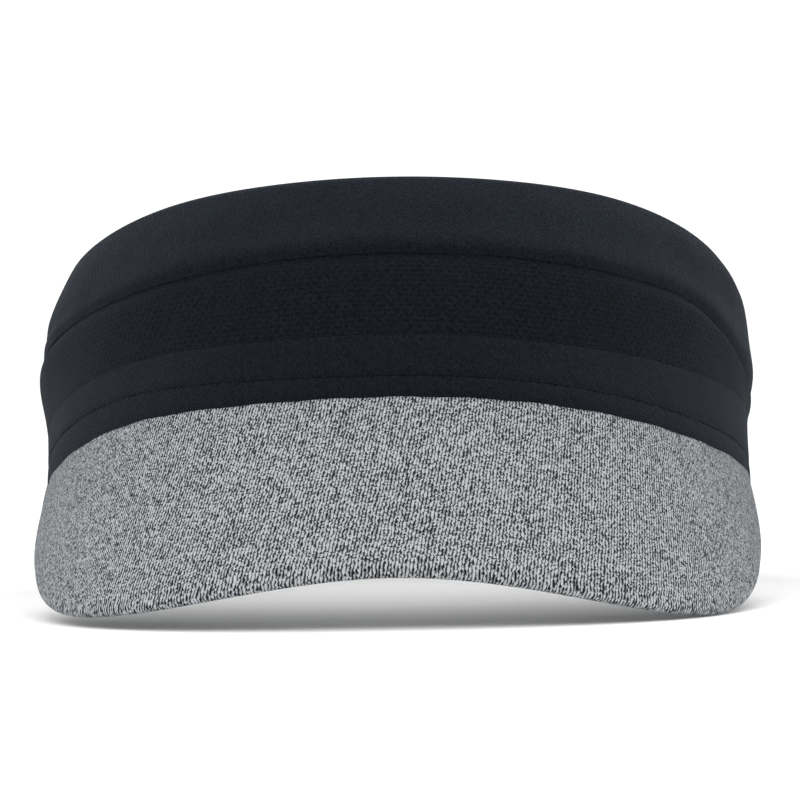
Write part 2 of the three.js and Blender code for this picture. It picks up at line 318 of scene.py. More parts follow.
def lofted(name, points, closed, material):
    """A closed skin over points[column, row]. Rows go round the section, its outside first, and
    columns go right round the band where closed is true. Otherwise each end gets a cap."""
    columns, rows = points.shape[:2]
    spans = columns if closed else columns - 1
    c, r = np.meshgrid(np.arange(spans), np.arange(rows), indexing="ij")
    next_c, next_r = (c + 1) % columns, (r + 1) % rows
    here, beside = c * rows, next_c * rows
    faces = np.stack([here + r, beside + r, beside + next_r, here + next_r], -1).reshape(-1, 4)
    ring = np.concatenate([points, points[:1]]) if closed else points
    middle = ring[:, rows // 4]
    u = np.concatenate([[0], np.cumsum(np.linalg.norm(np.diff(middle, axis=0), axis=1))]) / MM
    u = u - u[-1] / 2
    loop = np.concatenate([ring, ring[:, :1]], axis=1)
    steps = np.linalg.norm(np.diff(loop, axis=1), axis=2)
    v = np.concatenate([np.zeros((len(ring), 1)), np.cumsum(steps, axis=1)], axis=1) / MM
    corner_u = np.stack([u[c], u[c + 1], u[c + 1], u[c]], -1).reshape(-1)
    corner_v = np.stack([v[c, r], v[c + 1, r], v[c + 1, r + 1], v[c, r + 1]], -1).reshape(-1)
    if not closed:
        k = np.arange(rows // 2 - 1)
        cap = np.stack([k, k + 1, rows - 2 - k, rows - 1 - k], -1)
        last = (columns - 1) * rows
        faces = np.concatenate([faces, cap, last + cap[:, ::-1]])
        plain = np.zeros(8 * len(k))
        corner_u, corner_v = np.concatenate([corner_u, plain]), np.concatenate([corner_v, plain])
    flat = points.reshape(-1, 3)
    uv = np.stack([corner_u, corner_v], -1).reshape(-1, 4, 2)
    if volume_of(flat, faces) < 0:
        faces, uv = faces[:, ::-1], uv[:, ::-1]
    return cloth_object(name, flat, faces, uv.reshape(-1), material)


def cloth_object(name, points, faces, uv, material):
    """A smooth mesh object with its cloth map, in the scene."""
    mesh = bpy.data.meshes.new(name)
    mesh.from_pydata(points.tolist(), [], [list(map(int, face)) for face in faces])
    mesh.uv_layers.new(name=UV_MAP).data.foreach_set("uv", np.asarray(uv, np.float32).ravel())
    mesh.polygons.foreach_set("use_smooth", [True] * len(mesh.polygons))
    mesh.materials.append(material)
    mesh.update()
    piece = bpy.data.objects.new(name, mesh)
    bpy.context.scene.collection.objects.link(piece)
    return piece


def section(low, high, outer, inner, steps):
    """A strip's section with rounded edges, as its heights and depths: up its outside, down its
    inside. The rows crowd toward the edges, where the cloth bends most."""
    radius, thick = 0.12 * MM, inner - outer
    bend = np.radians(np.linspace(75, 0, 4))
    share = (1 - np.cos(np.linspace(0, math.pi, steps + 1))) / 2
    flat = low + radius + (high - low - 2 * radius) * share
    heights = np.concatenate([
        low + radius - radius * np.sin(bend),
        flat[1:-1],
        high - radius + radius * np.sin(bend[::-1]),
    ])
    round_off = np.concatenate([np.cos(bend), np.ones(steps - 1), np.cos(bend[::-1])]) - 1
    half = thick / 2 + round_off * radius
    middle = (outer + inner) / 2
    depths = np.concatenate([middle - half, middle + half[::-1]])
    return np.concatenate([heights, heights[::-1]]), depths


def lie(angle, height):
    """How soft knit stands off its shape: slow swells round the band, a few tenths of a
    millimetre high."""
    rise = height / MM
    swell = 0.20 * np.sin(5 * angle + 0.11 * rise + 0.6)
    swell = swell + 0.14 * np.sin(11 * angle - 0.16 * rise + 2.1)
    ripple = 0.07 * np.sin(23 * angle + 0.21 * rise) + 0.04 * np.sin(41 * angle - 0.33 * rise + 1.3)
    return (swell + ripple) * MM


def still(angle, height):
    """A strip that is pulled flat stands off its shape nowhere."""
    return 0 * angle + 0 * height


def pull(height, line, width):
    """1 at a sewn line, and 0 a few widths away."""
    return np.exp(-(((height - line) / width) ** 2))


def drawn_in(height, line, crease):
    """How far a sewn line draws the knit in."""
    depth, width = crease
    return depth * pull(height, line, width)


def notch(angle, height):
    """The band nips in over the ears at the welt's sewn line, a little higher on the wearer's
    right."""
    depth, width, higher = 0.9 * MM, 2.4 * MM, 3.5 * MM
    line = bpy.context.scene.visor_band.welt_line
    middle = np.where(np.sin(angle) > 0, line, line + higher)
    return depth * np.sin(angle) ** 6 * pull(height, middle, width)


def gathers(angle, height, line, width):
    """Tiny tucks where the knit is gathered onto a sewn line, fading away from it."""
    ticks = np.sin(258 * angle) + 0.5 * np.sin(171 * angle + 1.7)
    return GATHER_HEIGHT * ticks * pull(height, line, width)


def rear_pull(angle):
    """1 on the band's joint at the middle of the back."""
    band, width = bpy.context.scene.visor_band, 1.1 * MM
    arc = (math.pi - np.abs(np.arctan2(np.sin(angle), np.cos(angle)))) * band.half_width
    return np.exp(-((arc / width) ** 2))


def panel_relief(angle, height):
    """How the outer knit below the welt stands off its shape, with its sewn lines drawn in."""
    band = bpy.context.scene.visor_band
    crease = drawn_in(height, band.welt_line, WELT_CREASE) + notch(angle, height)
    crease = crease + gathers(angle, height, band.welt_line, 2.0 * MM)
    vent = drawn_in(height, band.vent_line, VENT_CREASE)
    hem = drawn_in(height, band.hem_line, HEM_CREASE)
    hem = hem + gathers(angle, height, band.hem_line, 0.7 * MM)
    bound = drawn_in(height, 0.0, EDGE_CREASE)
    calm = 0.6 * smoothstep(height, 0, 10 * MM)  # the swells die away toward the lower edge
    ear_hold, hold_middle, hold_width = 0.55 * MM, 16 * MM, 12 * MM
    tight = ear_hold * np.sin(angle) ** 6 * pull(height, hold_middle, hold_width)
    seam = JOINT_CREASE * rear_pull(angle)
    return lie(angle, height) * calm - crease - vent - hem - bound - seam - tight


def band_piece(name, outline, relief, material, columns=540, angles=None):
    """A strip of the band, right round it or between two angles."""
    heights, depths = outline
    if angles is None:
        angle = np.linspace(-math.pi, math.pi, columns, endpoint=False)
    else:
        angle = np.linspace(*angles, columns)
    angle, height = angle[:, None], heights[None, :]
    points = placed(band_points(angle, height, depths[None, :] - relief(angle, height)))
    return lofted(name, points, angles is None, material)


def stand_in(piece, node):
    """The piece shows in place of a node of the frame."""
    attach(piece, "root")
    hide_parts(node)
    return piece


# ---- Materials ---------------------------------------------------------------------------------

def add(tree, kind, inputs=None, **settings):
    """Adds a node with its settings, and sets or links its inputs. Returns its first output."""
    made = tree.nodes.new(kind)
    for key, value in settings.items():
        setattr(made, key, value)
    for key, value in (inputs or {}).items():
        if isinstance(value, bpy.types.NodeSocket):
            tree.links.new(value, made.inputs[key])
        else:
            made.inputs[key].default_value = value
    return made.outputs[0] if made.outputs else None


def started(name):
    """A new material's tree, emptied."""
    material = bpy.data.materials.new(name)
    material.use_nodes = True
    material.node_tree.nodes.clear()
    return material, material.node_tree


def across_and_up(tree):
    """The knit's own coordinates, in millimetres."""
    place = add(tree, "ShaderNodeUVMap", uv_map=UV_MAP)
    split = add(tree, "ShaderNodeSeparateXYZ", {0: place}).node
    return place, split.outputs[0], split.outputs[1]


def finished(tree, colour_socket, height, relief, roughness, sheen):
    """The shader, with its relief in metres. Loose fibres scatter light, so the gloss is weak and
    the sheen is cool."""
    bump = add(tree, "ShaderNodeBump", {"Strength": 1.0, "Distance": relief, "Height": height})
    shader = add(tree, "ShaderNodeBsdfPrincipled", {
        "Base Color": colour_socket, "Roughness": roughness, "IOR": 1.45,
        "Specular IOR Level": 0.08, "Sheen Weight": sheen, "Sheen Roughness": 0.35,
        "Sheen Tint": (0.58, 0.74, 1.0, 1.0), "Normal": bump,
    })
    add(tree, "ShaderNodeOutputMaterial", {"Surface": shader})


def knit_cells(tree, across, up, wale, course, vee):
    """The stitches of a jersey's face: ridge is 1 along the middle of each wale, cell is a random
    number for each leg of a stitch, and leg is 1 along the middle of a leg."""
    column = add(tree, "ShaderNodeMath", {0: across, 1: 1 / wale}, operation="MULTIPLY")
    inside = add(tree, "ShaderNodeMath", {0: column}, operation="FRACT")
    centred = add(tree, "ShaderNodeMath", {0: inside, 1: 0.5}, operation="SUBTRACT")
    side = add(tree, "ShaderNodeMath", {0: centred}, operation="ABSOLUTE")
    ridge = add(tree, "ShaderNodeMapRange", {0: side, 1: 0.5, 2: 0.12, 3: 0.0, 4: 1.0},
                interpolation_type="SMOOTHSTEP")
    row = add(tree, "ShaderNodeMath", {0: up, 1: 1 / course}, operation="MULTIPLY")
    slanted = add(tree, "ShaderNodeMath", {0: side, 1: vee, 2: row}, operation="MULTIPLY_ADD")
    row_inside = add(tree, "ShaderNodeMath", {0: slanted}, operation="FRACT")
    wave = add(tree, "ShaderNodeMath", {0: row_inside, 1: math.pi}, operation="MULTIPLY")
    leg = add(tree, "ShaderNodeMath", {0: wave}, operation="SINE")
    half_column = add(tree, "ShaderNodeMath", {0: column, 1: 2.0}, operation="MULTIPLY")
    leg_number = add(tree, "ShaderNodeMath", {0: half_column}, operation="FLOOR")
    row_number = add(tree, "ShaderNodeMath", {0: slanted}, operation="FLOOR")
    both = add(tree, "ShaderNodeCombineXYZ", {0: leg_number, 1: row_number})
    cell = add(tree, "ShaderNodeTexWhiteNoise", {"Vector": both}, noise_dimensions="2D")
    return ridge, cell, leg


def heather_jersey():
    """Polyester jersey of light and dark melange yarns: painted highlight on the ribs over painted
    shade in the gaps, salt and pepper from stitch to stitch, with slow streaks where the yarn's
    blend drifts."""
    knit, colours = bpy.context.scene.visor_knit, bpy.context.scene.visor_colours
    material, tree = started("heather_polyester_jersey")
    place, across, up = across_and_up(tree)
    skew, wander = 0.12, 0.7  # how far the wales lean, and how far they stray from straight
    lean = add(tree, "ShaderNodeMath", {0: up, 1: skew, 2: across}, operation="MULTIPLY_ADD")
    drift = add(tree, "ShaderNodeTexNoise", {"Vector": place, "Scale": 0.16, "Detail": 3.0})
    waver = add(tree, "ShaderNodeMath", {0: drift, 1: wander, 2: lean}, operation="MULTIPLY_ADD")
    wale, course = knit.heather_wale / MM, knit.heather_course / MM
    ridge, cell, leg = knit_cells(tree, waver, up, wale, course, 1.3)
    blend = add(tree, "ShaderNodeTexNoise", {"Vector": place, "Scale": 0.55, "Detail": 4.0})
    fleck = add(tree, "ShaderNodeTexNoise", {"Vector": place, "Scale": 2.2, "Detail": 2.0})
    mixed, all_dark, all_light = -0.12, 0.78, 1.34
    # ridge and leg paint highlight along the middle of each wale and leg, and shade in the gaps
    # between them; cell, blend and fleck are the yarn's own mix
    for part, weight in ((ridge, 0.56), (cell, 0.85), (leg, 0.10), (blend, 0.26), (fleck, 0.36)):
        mixed = add(tree, "ShaderNodeMath", {0: part, 1: weight, 2: mixed}, operation="MULTIPLY_ADD")
    tone = add(tree, "ShaderNodeMapRange", {0: mixed, 1: all_dark, 2: all_light, 3: 0.0, 4: 1.0})
    yarn = add(tree, "ShaderNodeMix", {
        0: tone, 6: (*colours.heather_dark, 1.0), 7: (*colours.heather_light, 1.0),
    }, data_type="RGBA").node.outputs[2]
    height = add(tree, "ShaderNodeMath", {0: ridge, 1: leg}, operation="ADD")
    finished(tree, yarn, height, 0.09 * MM, 0.85, 0.04)
    return material


def navy_interlock(name, base, contrast=1.0):
    """Fine polyester interlock. Its stitches are half a millimetre wide, so they read as a faint
    grain of painted highlight and shade, with a few brighter filaments and a soft sheen at grazing
    angles."""
    knit = bpy.context.scene.visor_knit
    material, tree = started(name)
    place, across, up = across_and_up(tree)
    slant = add(tree, "ShaderNodeMath", {0: up, 1: 0.35, 2: across}, operation="MULTIPLY_ADD")
    ridge, cell, leg = knit_cells(tree, slant, up, knit.navy_wale / MM, knit.navy_course / MM, 1.0)
    cloudy = add(tree, "ShaderNodeTexNoise", {"Vector": place, "Scale": 0.35, "Detail": 5.0})
    value = 0.30
    # ridge paints a faint highlight along each wale and shade between the wales; cell and cloudy are
    # the yarn's own unevenness
    for part, weight in ((cell, 1.15 * contrast), (ridge, 0.40 * contrast), (cloudy, 0.25)):
        value = add(tree, "ShaderNodeMath", {0: part, 1: weight, 2: value}, operation="MULTIPLY_ADD")
    yarn = add(tree, "ShaderNodeHueSaturation", {"Value": value, "Color": (*base, 1.0)})
    height = add(tree, "ShaderNodeMath", {0: ridge, 1: leg}, operation="ADD")
    finished(tree, yarn, height, 0.09 * MM, 0.82, 0.07)
    return material


def vented_knit():
    """Pointelle mesh: the same yarn, knitted with rows of short slots, each darkened with painted
    shade.
    """
    knit, colours = bpy.context.scene.visor_knit, bpy.context.scene.visor_colours
    material, tree = started("vented_polyester_mesh")
    place, across, up = across_and_up(tree)
    ridge, cell, _ = knit_cells(tree, across, up, knit.navy_wale / MM, knit.navy_course / MM, 0.8)
    row = add(tree, "ShaderNodeMath", {0: up, 1: MM / knit.vent_up}, operation="MULTIPLY")
    row_number = add(tree, "ShaderNodeMath", {0: row}, operation="FLOOR")
    shifted = add(tree, "ShaderNodeMath", {0: row_number, 1: 0.5}, operation="MULTIPLY")
    column = add(tree, "ShaderNodeMath", {0: across, 1: MM / knit.vent_across, 2: shifted},
                 operation="MULTIPLY_ADD")
    in_column = add(tree, "ShaderNodeMath", {0: column}, operation="FRACT")
    offset_x = add(tree, "ShaderNodeMath", {0: in_column, 1: 0.5}, operation="SUBTRACT")
    in_row = add(tree, "ShaderNodeMath", {0: row}, operation="FRACT")
    offset_y = add(tree, "ShaderNodeMath", {0: in_row, 1: 0.5}, operation="SUBTRACT")
    taller = add(tree, "ShaderNodeMath", {0: offset_y, 1: 1.5}, operation="MULTIPLY")
    pair = add(tree, "ShaderNodeCombineXYZ", {0: offset_x, 1: taller})
    far = add(tree, "ShaderNodeVectorMath", {0: pair}, operation="LENGTH").node.outputs["Value"]
    slot = add(tree, "ShaderNodeMapRange", {0: far, 1: 0.20, 2: 0.42, 3: 0.0, 4: 1.0},
               interpolation_type="SMOOTHSTEP")
    cloudy = add(tree, "ShaderNodeTexNoise", {"Vector": place, "Scale": 0.8, "Detail": 4.0})
    uneven = add(tree, "ShaderNodeMath", {0: cell, 1: 1.0, 2: cloudy}, operation="MULTIPLY_ADD")
    # painted shade: the yarn darkens toward the middle of each slot, where the hole would lie in
    # shade
    painted_slot_shade = add(tree, "ShaderNodeMath", {0: slot, 1: 0.30, 2: 0.42}, operation="MULTIPLY_ADD")
    value = add(tree, "ShaderNodeMath", {0: uneven, 1: painted_slot_shade}, operation="MULTIPLY")
    bright = add(tree, "ShaderNodeMath", {0: value, 1: 1.35}, operation="MULTIPLY")
    yarn = add(tree, "ShaderNodeHueSaturation", {"Value": bright, "Color": (*colours.vent, 1.0)})
    height = add(tree, "ShaderNodeMath", {0: slot, 1: 1.2, 2: ridge}, operation="MULTIPLY_ADD")
    finished(tree, yarn, height, 0.07 * MM, 0.85, 0.04)
    return material


def ribbed(name, base, pitch, slant, relief, sheen):
    """Woven or braided narrow goods: plain ribs at a pitch in millimetres, with a slant for a
    twill. Painted highlight runs along the ribs, and painted shade lies on the yarn between them."""
    material, tree = started(name)
    place, across, up = across_and_up(tree)
    leaning = add(tree, "ShaderNodeMath", {0: up, 1: slant, 2: across}, operation="MULTIPLY_ADD")
    turns = add(tree, "ShaderNodeMath", {0: leaning, 1: 2 * math.pi / pitch}, operation="MULTIPLY")
    wave = add(tree, "ShaderNodeMath", {0: turns}, operation="SINE")
    uneven = add(tree, "ShaderNodeTexNoise", {"Vector": place, "Scale": 1.4, "Detail": 4.0})
    # painted highlight and shade: the wave lightens each rib's crest and darkens the yarn between
    # ribs
    ribs = add(tree, "ShaderNodeMath", {0: wave, 1: 0.16, 2: 0.62}, operation="MULTIPLY_ADD")
    value = add(tree, "ShaderNodeMath", {0: uneven, 1: 0.7, 2: ribs}, operation="MULTIPLY_ADD")
    yarn = add(tree, "ShaderNodeHueSaturation", {"Value": value, "Color": (*base, 1.0)})
    finished(tree, yarn, wave, relief, 0.75, sheen)
    return material


def open_cell_foam():
    """Polyurethane foam: rounded cells under half a millimetre across, matt and slightly warm."""
    colours = bpy.context.scene.visor_colours
    material, tree = started("open_cell_polyurethane_foam")
    place = add(tree, "ShaderNodeTexCoord").node.outputs["Object"]
    cell_width = 0.45 * MM
    cells = add(tree, "ShaderNodeTexVoronoi", {"Vector": place, "Scale": 1 / cell_width})
    # painted shade: each cell is darkest at its middle, where the open pore lies in shade
    value = add(tree, "ShaderNodeMath", {0: cells, 1: 0.45, 2: 0.72}, operation="MULTIPLY_ADD")
    painted_pore_shade = add(tree, "ShaderNodeHueSaturation", {"Value": value, "Color": (*colours.foam, 1.0)})
    finished(tree, painted_pore_shade, cells, 0.10 * MM, 0.95, 0.0)
    return material


def polyethylene_sheet():
    """Die-cut polyethylene: milky, a little glossy, with faint flow marks from rolling."""
    colours = bpy.context.scene.visor_colours
    material, tree = started("rolled_polyethylene_sheet")
    place = add(tree, "ShaderNodeTexCoord").node.outputs["Object"]
    mark_width, mark_length = 2 * MM, 9 * MM
    drawn = add(tree, "ShaderNodeMapping", {
        "Vector": place, "Scale": (1 / mark_width, 1 / mark_length, 1.0),
    })
    marks = add(tree, "ShaderNodeTexNoise", {"Vector": drawn, "Scale": 1.0, "Detail": 3.0})
    value = add(tree, "ShaderNodeMath", {0: marks, 1: 0.12, 2: 0.92}, operation="MULTIPLY_ADD")
    milky = add(tree, "ShaderNodeHueSaturation", {"Value": value, "Color": (*colours.board, 1.0)})
    bump = add(tree, "ShaderNodeBump", {"Strength": 1.0, "Distance": 0.02 * MM, "Height": marks})
    shader = add(tree, "ShaderNodeBsdfPrincipled", {
        "Base Color": milky, "Roughness": 0.42, "IOR": 1.51, "Normal": bump,
    })
    add(tree, "ShaderNodeOutputMaterial", {"Surface": shader})
    return material


def studio_paper():
    """Seamless background paper: matt and pale, with barely any grain."""
    colours = bpy.context.scene.visor_colours
    material, tree = started("seamless_background_paper")
    place = add(tree, "ShaderNodeTexCoord").node.outputs["Object"]
    grain = add(tree, "ShaderNodeTexNoise", {"Vector": place, "Scale": 3.0, "Detail": 2.0})
    value = add(tree, "ShaderNodeMath", {0: grain, 1: 0.02, 2: 0.99}, operation="MULTIPLY_ADD")
    pale = add(tree, "ShaderNodeHueSaturation", {"Value": value, "Color": (*colours.floor, 1.0)})
    shader = add(tree, "ShaderNodeBsdfPrincipled", {"Base Color": pale, "Roughness": 0.9})
    add(tree, "ShaderNodeOutputMaterial", {"Surface": shader})
    return material


made_materials = {}


def shared(make, *facts):
    """Makes a material once, and gives the same one to each piece that asks again."""
    key = (make.__name__, *map(str, facts[:1]))
    if key not in made_materials:
        made_materials[key] = make(*facts)
    return made_materials[key]


def navy_material():
    navy = tuple(bpy.context.scene.visor_colours.navy)
    return shared(navy_interlock, "navy_polyester_interlock", navy)


def thread_material():
    base = tuple(bpy.context.scene.visor_colours.thread)
    ply, twist, relief = 0.32, 0.8, 0.03 * MM
    return shared(ribbed, "twisted_polyester_thread", base, ply, twist, relief, 0.0)


# ---- Pieces of the band ------------------------------------------------------------------------

class VISOR_OT_folded_welt(bpy.types.Operator):
    """The wide welt: one width of knit folded over the top edge, plump above its sewn line"""

    bl_idname = "visor.folded_welt"
    bl_label = "Folded welt"

    def execute(self, context):
        band = context.scene.visor_band
        low, top = band.welt_line + SEWN_HALF, band.height
        thick, inner = OUTER[1] - OUTER[0], LINING[1]
        # Up the outside, over the fold, down the inside leg, and back along the cloth's inner face.
        rise = np.linspace(low + thick / 2, top - inner / 2, 34)
        fold = np.radians(np.linspace(180, 0, 17))[1:-1]
        middle, radius = (OUTER[0] + inner) / 2, (inner - OUTER[0]) / 2
        lip = np.radians(np.linspace(80, -80, 6))
        lip_heights = low + thick / 2 - thick / 2 * np.cos(lip)
        lip_across = thick / 2 * np.sin(lip)

        def leg(depth):
            return np.full(len(rise), depth)

        heights = np.concatenate([
            rise, rise[-1] + radius * np.sin(fold), rise[::-1], lip_heights,
            rise, rise[-1] + (radius - thick) * np.sin(fold), rise[::-1], lip_heights,
        ])
        depths = np.concatenate([
            leg(OUTER[0]), middle + radius * np.cos(fold), leg(inner),
            inner - thick / 2 + lip_across,
            leg(inner - thick), middle - (radius - thick) * np.cos(fold), leg(OUTER[1]),
            OUTER[0] + thick / 2 + lip_across,
        ])
        on_front = (depths < middle).astype(float)

        def relief(angle, height):
            """Plump over its sewn line, and filled out over the ears, more so on the left."""
            plump = (0.70 - 0.50 * np.sin(angle) ** 2) * MM * pull(height, low + 3.2 * MM, 3.4 * MM)
            tucked = drawn_in(height, low, WELT_TUCK) + notch(angle, height)
            left_ear = np.sin(angle) > 0
            fuller = np.where(left_ear, 2.1, 1.5) * MM * np.sin(angle) ** 4
            left_fill, right_fill = pull(height, 47 * MM, 5 * MM), pull(height, 43 * MM, 9 * MM)
            filled = fuller * np.where(left_ear, left_fill, right_fill)
            slimmer = np.where(left_ear, 0.7, 0.0) * MM * np.sin(angle) ** 4
            filled = filled - slimmer * pull(height, 37 * MM, 5 * MM)
            loose = smoothstep(top - height, 0, 8 * MM)  # the fold itself is tight
            seam = JOINT_CREASE * rear_pull(angle)
            return on_front * (plump - tucked + filled + lie(angle, height) * loose - seam)

        piece = band_piece("folded_welt", (heights, depths), relief, navy_material())
        stand_in(piece, "top_welt")
        return {"FINISHED"}


class VISOR_OT_outer_panels(bpy.types.Operator):
    """The outer knit below the welt: the vented panel, the lower panel and the hem strip"""

    bl_idname = "visor.outer_panels"
    bl_label = "Outer panels"

    def execute(self, context):
        band = context.scene.visor_band
        mesh, navy = shared(vented_knit), navy_material()
        hem_line, vent_line = band.hem_line, band.vent_line
        panels = [
            ("vent_mesh", "vent_panel", "navy_mesh", mesh, vent_line, band.welt_line, 34),
            ("lower_knit", "lower_panel", "navy_knit", navy, hem_line, vent_line, 18),
            ("hem_knit", "hem_strip", "navy_knit", navy, 0.0, hem_line, 12),
        ]
        for name, node, slot, knit, low, high, steps in panels:
            foot = low + (SEWN_HALF if low else 0)
            outline = section(foot, high - SEWN_HALF, *OUTER, steps)
            stand_in(band_piece(name, outline, panel_relief, knit), node)
        return {"FINISHED"}


class VISOR_OT_lining(bpy.types.Operator):
    """The sweatband: a brushed knit lining right round the inside"""

    bl_idname = "visor.lining"
    bl_label = "Sweatband lining"

    def execute(self, context):
        band, colours = context.scene.visor_band, context.scene.visor_colours
        brushed = shared(navy_interlock, "brushed_wicking_knit", tuple(colours.lining), 0.6)
        setback = 1.6 * MM
        outline = section(setback, band.welt_line - SEWN_HALF, *LINING, 26)

        def relief(angle, height):
            return 0.10 * MM * np.sin(17 * angle + 0.2 * height / MM)

        piece = band_piece("lining_knit", outline, relief, brushed, columns=480)
        stand_in(piece, "sweatband")
        return {"FINISHED"}


class VISOR_OT_elastics(bpy.types.Operator):
    """The braided elastics: one in the fold of the welt, one behind the rear half"""

    bl_idname = "visor.elastics"
    bl_label = "Elastics"

    def execute(self, context):
        band, colours = context.scene.visor_band, context.scene.visor_colours
        braid = shared(ribbed, "braided_elastic", tuple(colours.elastic), 1.1, 0.0, 0.08 * MM, 0.1)
        below_fold, above_line, margin = 3.4 * MM, 1.8 * MM, 2 * MM
        outline = section(band.welt_line + above_line, band.height - below_fold, *CORE, 10)
        welt = band_piece("welt_elastic", outline, still, braid, columns=300)
        stand_in(welt, "top_elastic")
        outline = section(margin, band.welt_line - margin, *CORE, 12)
        half = math.radians(85)
        angles = (math.pi - half, math.pi + half)
        rear = band_piece("back_elastic", outline, still, braid, columns=150, angles=angles)
        stand_in(rear, "rear_elastic")
        return {"FINISHED"}


class VISOR_OT_forehead_pad(bpy.types.Operator):
    """The foam behind the forehead: fullest at its middle, thinning to its edges"""

    bl_idname = "visor.forehead_pad"
    bl_label = "Forehead pad"

    def execute(self, context):
        band = context.scene.visor_band
        low, high, half = 8.5 * MM, band.welt_line - 2 * MM, math.radians(60)
        heights, depths = section(low, high, *CORE, 16)
        angle = np.linspace(-half, half, 120)[:, None]
        height = heights[None, :]
        across = np.clip(1 - (angle / half) ** 6, 0, 1)
        upward = np.clip(1 - ((height - (low + high) / 2) / ((high - low) / 2)) ** 6, 0, 1)
        crown = 0.45 + 0.55 * across * upward  # its share of the full thickness
        middle = sum(CORE) / 2
        depth = middle + (depths[None, :] - middle) * crown
        points = placed(band_points(angle, height, depth))
        piece = lofted("foam_pad", points, False, shared(open_cell_foam))
        stand_in(piece, "forehead_pad")
        return {"FINISHED"}


class VISOR_OT_tapes(bpy.types.Operator):
    """The twill tapes: one that the brim is sewn to, one over the joint at the back"""

    bl_idname = "visor.tapes"
    bl_label = "Twill tapes"

    def execute(self, context):
        band, colours = context.scene.visor_band, context.scene.visor_colours
        twill = shared(
            ribbed, "polyester_twill_tape", tuple(colours.twill), 0.8, 0.9, 0.06 * MM, 0.1
        )
        foot, head, inner, half = 0.8 * MM, 6.5 * MM, 1.95 * MM, math.radians(75)
        outline = section(foot, head, CORE[0], inner, 5)
        mount = band_piece("brim_tape", outline, still, twill, columns=180, angles=(-half, half))
        stand_in(mount, "brim_mount_tape")
        half = 5 * MM / band.half_width
        outline = section(JOINT_FOOT, band.height - TOP_MARGIN, *TAPE, 40)
        angles = (math.pi - half, math.pi + half)
        seam = band_piece("seam_tape", outline, still, twill, columns=16, angles=angles)
        stand_in(seam, "rear_seam_tape")
        return {"FINISHED"}


class VISOR_OT_label(bpy.types.Operator):
    """The care label: blank satin, held by its top edge, with its free end lifting"""

    bl_idname = "visor.label"
    bl_label = "Blank label"

    def execute(self, context):
        band, colours = context.scene.visor_band, context.scene.visor_colours
        satin = shared(ribbed, "blank_woven_satin", tuple(colours.label), 0.5, 0.0, 0.02 * MM, 0.3)
        low, high = band.hem_line, band.hem_line + 22 * MM
        start, end = 5.4 * MM, 21.3 * MM  # its two sides, from the joint
        satin_thickness, lift = 0.35 * MM, 1.6 * MM

        def relief(angle, height):
            free = smoothstep(high - height, 4 * MM, 20 * MM)
            arc = (angle - math.pi) * band.half_width
            curl = 0.35 * np.cos((arc - (start + end) / 2) / (end - start) * 2.6) + 0.5
            return -lift * free * curl

        outline = section(low, high, TAPE[0], TAPE[0] + satin_thickness, 22)
        angles = (math.pi + start / band.half_width, math.pi + end / band.half_width)
        piece = band_piece("blank_label", outline, relief, satin, columns=22, angles=angles)
        stand_in(piece, "care_label")
        return {"FINISHED"}


# ---- Stitches ----------------------------------------------------------------------------------

def one_stitch():
    """A thread's visible length, 1 long and 1 thick: its points, its quads and its side count."""
    sides, spans = 6, [(-0.5, 0.35), (-0.36, 0.85), (0.0, 1.0), (0.36, 0.85), (0.5, 0.35)]
    turns = np.arange(sides) * 2 * math.pi / sides
    rings = [[(x, w * math.cos(t) / 2, w * math.sin(t) / 2) for t in turns] for x, w in spans]
    faces = []
    for ring in range(len(spans) - 1):
        for side in range(sides):
            a, b = ring * sides + side, ring * sides + (side + 1) % sides
            faces.append((a, b, b + sides, a + sides))
    return np.array(rings).reshape(-1, 3), faces, sides


def stitch_row(name, node, path, outward, slant, zigzag=False):
    """Stitches along a path, each turned by the slant about the way out. In a zigzag every other
    one turns the other way."""
    knit = bpy.context.scene.visor_knit
    gaps = np.linalg.norm(np.diff(path, axis=0), axis=1)
    run = np.concatenate([[0], np.cumsum(gaps)])
    count = max(2, round(run[-1] / knit.stitch_pitch))
    spots = (np.arange(count) + 0.5) * run[-1] / count
    template, quads, sides = one_stitch()
    points, faces, uvs = [], [], []
    for number, spot in enumerate(spots):
        k = min(int(np.searchsorted(run, spot)), len(path) - 1)
        share = (spot - run[k - 1]) / (run[k] - run[k - 1])
        centre = path[k - 1] + (path[k] - path[k - 1]) * share
        along = (path[k] - path[k - 1]) / gaps[k - 1]
        normal = outward[k] - along * (outward[k] @ along)
        normal = normal / np.linalg.norm(normal)
        beside = np.cross(normal, along)
        lean = -slant if zigzag and number % 2 == 0 else slant
        c, s = math.cos(lean), math.sin(lean)
        axes = np.stack([along * c + beside * s, beside * c - along * s, normal])
        base = len(points) * len(template)
        shape = template * np.array([knit.stitch_pitch * 0.80, knit.thread, knit.thread])
        points.append(centre + shape @ axes)
        ends = [tuple(range(sides))[::-1], tuple(range(len(template) - sides, len(template)))]
        for face in [*quads, *ends]:
            faces.append([base + i for i in face])
            uvs.extend((shape[i, 0] / MM, math.atan2(shape[i, 2], shape[i, 1])) for i in face)
    piece = cloth_object(name, np.concatenate(points), faces, np.array(uvs), thread_material())
    turn_outward(piece)
    stand_in(piece, node)


def turn_outward(piece):
    """Recalculates the normals of a closed mesh, so that its faces point out."""
    bpy.ops.object.select_all(action="DESELECT")
    piece.select_set(True)
    bpy.context.view_layer.objects.active = piece
    bpy.ops.object.mode_set(mode="EDIT")
    bpy.ops.mesh.select_all(action="SELECT")
    bpy.ops.mesh.normals_make_consistent(inside=False)
    bpy.ops.object.mode_set(mode="OBJECT")
    piece.select_set(False)


